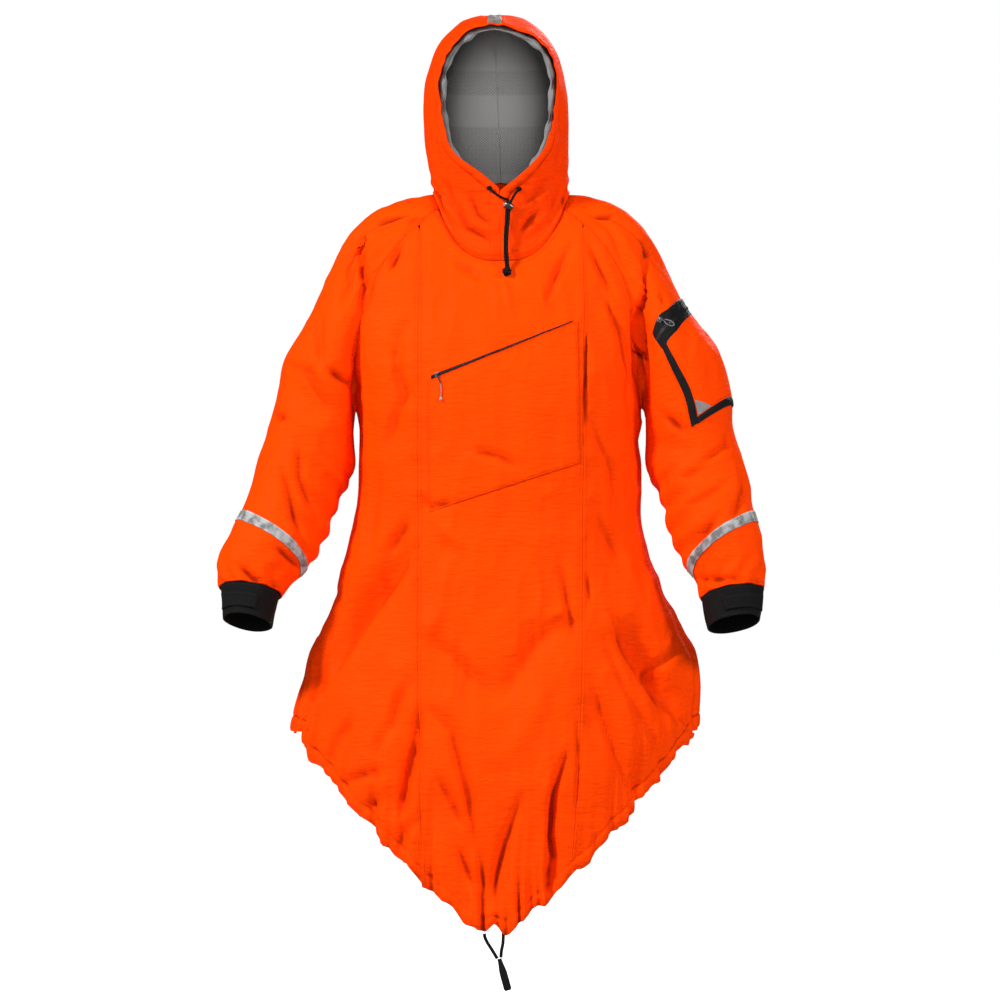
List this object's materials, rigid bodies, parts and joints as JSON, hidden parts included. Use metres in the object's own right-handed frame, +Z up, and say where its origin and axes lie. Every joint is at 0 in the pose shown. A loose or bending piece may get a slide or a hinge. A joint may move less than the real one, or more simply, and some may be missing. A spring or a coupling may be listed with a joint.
{
  "type": "paddling cagoule",
  "caption": "Hooded pullover paddling cagoule with raglan sleeves, neoprene cuffs, pocketed chest and upper arm, and a dipped elastic hem, filled out as worn.",
  "frame": {"origin": "between the shoulders, level with the base of the neck, where the wearer carries the garment", "axes": "+X to the wearer's left, -Y the front, +Z up"},
  "size_m": [0.849, 0.3344, 1.515],
  "materials": {
    "orange_cloth": "smooth coated nylon with a soft satin sheen",
    "grey_lining": "fine grey mesh and tricot",
    "reflective_tape": "grey reflective tape, smooth",
    "cuff_neoprene": "matt black neoprene",
    "black_tape": "black coated zip tape and binding",
    "slider_metal": "dark grey painted zip slider",
    "black_plastic": "moulded black plastic",
    "grey_cord": "thin braided grey cord",
    "silver_button": "silver push button",
    "black_cord": "braided black elastic cord and strap"
  },
  "bodies": {
    "garment": {"back": "orange_cloth", "chest_pocket": "orange_cloth", "chest_slider": "slider_metal", "chest_slider_bridge": "slider_metal", "chest_zip": "black_tape", "cord_lock": "black_plastic", "cord_lock_button": "silver_button", "cuff_left": "cuff_neoprene", "cuff_right": "cuff_neoprene", "cuff_tab_left": "cuff_neoprene", "cuff_tab_right": "cuff_neoprene", "eyelet_left": "black_plastic", "eyelet_right": "black_plastic", "front_centre": "orange_cloth", "hem_cord_left": "black_cord", "hem_cord_right": "black_cord", "hem_pull_tab": "black_cord", "hood_left": "orange_cloth", "hood_lining_left": "grey_lining", "hood_lining_right": "grey_lining", "hood_right": "orange_cloth", "hood_tape": "reflective_tape", "neck_cord_knot": "black_cord", "neck_cord_left_lower": "black_cord", "neck_cord_left_upper": "black_cord", "neck_cord_right_lower": "black_cord", "neck_cord_right_upper": "black_cord", "side_front_left": "orange_cloth", "side_front_right": "orange_cloth", "sleeve_band_left": "reflective_tape", "sleeve_band_right": "reflective_tape", "sleeve_left": "orange_cloth", "sleeve_pocket": "orange_cloth", "sleeve_pocket_binding_back": "black_tape", "sleeve_pocket_binding_bottom": "black_tape", "sleeve_pocket_binding_front": "black_tape", "sleeve_right": "orange_cloth", "sleeve_slider": "slider_metal", "sleeve_slider_bridge": "slider_metal", "sleeve_triangle": "reflective_tape", "sleeve_zip": "black_tape"},
    "chest_pull": {"chest_pull": "black_plastic", "chest_pull_cord": "grey_cord", "chest_pull_knob": "grey_cord"},
    "sleeve_pull": {"sleeve_pull": "slider_metal", "sleeve_pull_cord": "grey_cord"}
  },
  "joints": [
    {"name": "chest_pull_hinge", "type": "hinge", "parent": "garment", "child": "chest_pull", "pos_m": [-0.0976, -0.13669, -0.27067], "axis": [-0.92, 0.1383, -0.3667], "range_deg": [0, 110]},
    {"name": "sleeve_pull_hinge", "type": "hinge", "parent": "garment", "child": "sleeve_pull", "pos_m": [0.24832, -0.08285, -0.18403], "axis": [-0.3313, -0.2301, -0.915], "range_deg": [0, 110]}
  ]
}
